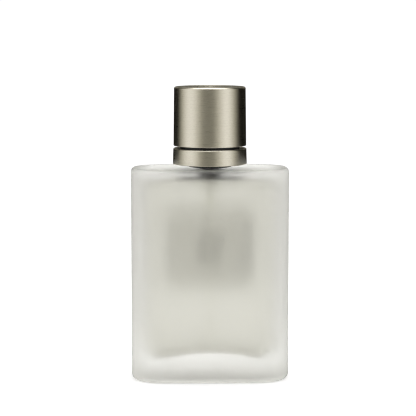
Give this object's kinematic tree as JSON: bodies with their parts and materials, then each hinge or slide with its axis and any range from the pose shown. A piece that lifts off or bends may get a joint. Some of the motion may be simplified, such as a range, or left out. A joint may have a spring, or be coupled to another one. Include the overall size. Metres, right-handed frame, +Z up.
{
  "type": "aftershave spray bottle",
  "caption": "Flat frosted-glass bottle with a crimped spray pump, satin metal collar ring and lift-off cylindrical metal cap.",
  "frame": {"origin": "middle of the base, on the surface that the bottle stands on", "axes": "+Z up along the pump, X across the wide face, front face and nozzle towards -Y"},
  "size_m": [0.071, 0.0366, 0.132],
  "materials": {
    "frosted_glass": "satin",
    "aftershave": "gloss",
    "satin_metal": "satin",
    "black_plastic": "satin",
    "grey_plastic": "satin",
    "natural_plastic": "satin",
    "clear_plastic": "satin",
    "black_rubber": "matte",
    "bare_aluminium": "satin",
    "spring_steel": "gloss",
    "plated_steel": "satin",
    "label_film": "satin"
  },
  "bodies": {
    "bottle": {"glass_bottle": "frosted_glass", "aftershave_fill": "aftershave", "neck_gasket": "black_rubber", "crimp_ferrule": "bare_aluminium", "pump_housing": "natural_plastic", "pump_turret": "natural_plastic", "stem_gasket": "black_rubber", "dip_tube": "clear_plastic", "return_spring": "spring_steel", "collar_ring": "satin_metal", "collar_insert": "black_plastic", "back_label": "label_film", "base_label": "label_film"},
    "cap": {"cap_shell": "satin_metal", "cap_weight": "plated_steel", "cap_liner": "black_plastic"},
    "stem": {"pump_stem": "natural_plastic", "pump_piston": "natural_plastic"},
    "actuator": {"actuator_core": "black_plastic", "actuator_shell": "satin_metal", "nozzle_insert": "grey_plastic"},
    "ball": {"valve_ball": "spring_steel"}
  },
  "joints": [
    {"name": "cap_lift", "type": "slide", "parent": "bottle", "child": "cap", "axis": [0, 0, 1], "range_m": [0, 0.03]},
    {"name": "pump_press", "type": "slide", "parent": "bottle", "child": "stem", "axis": [0, 0, -1], "range_m": [0, 0.0038], "stiffness_N_per_m": 800, "springref_m": -0.004, "deforming": ["return_spring"]},
    {"name": "actuator_turn", "type": "hinge", "parent": "stem", "child": "actuator", "pos_m": [0, 0, 0.1175], "axis": [0, 0, 1], "continuous": true},
    {"name": "ball_lift", "type": "slide", "parent": "bottle", "child": "ball", "axis": [0, 0, 1], "range_m": [0, 0.0008]}
  ]
}
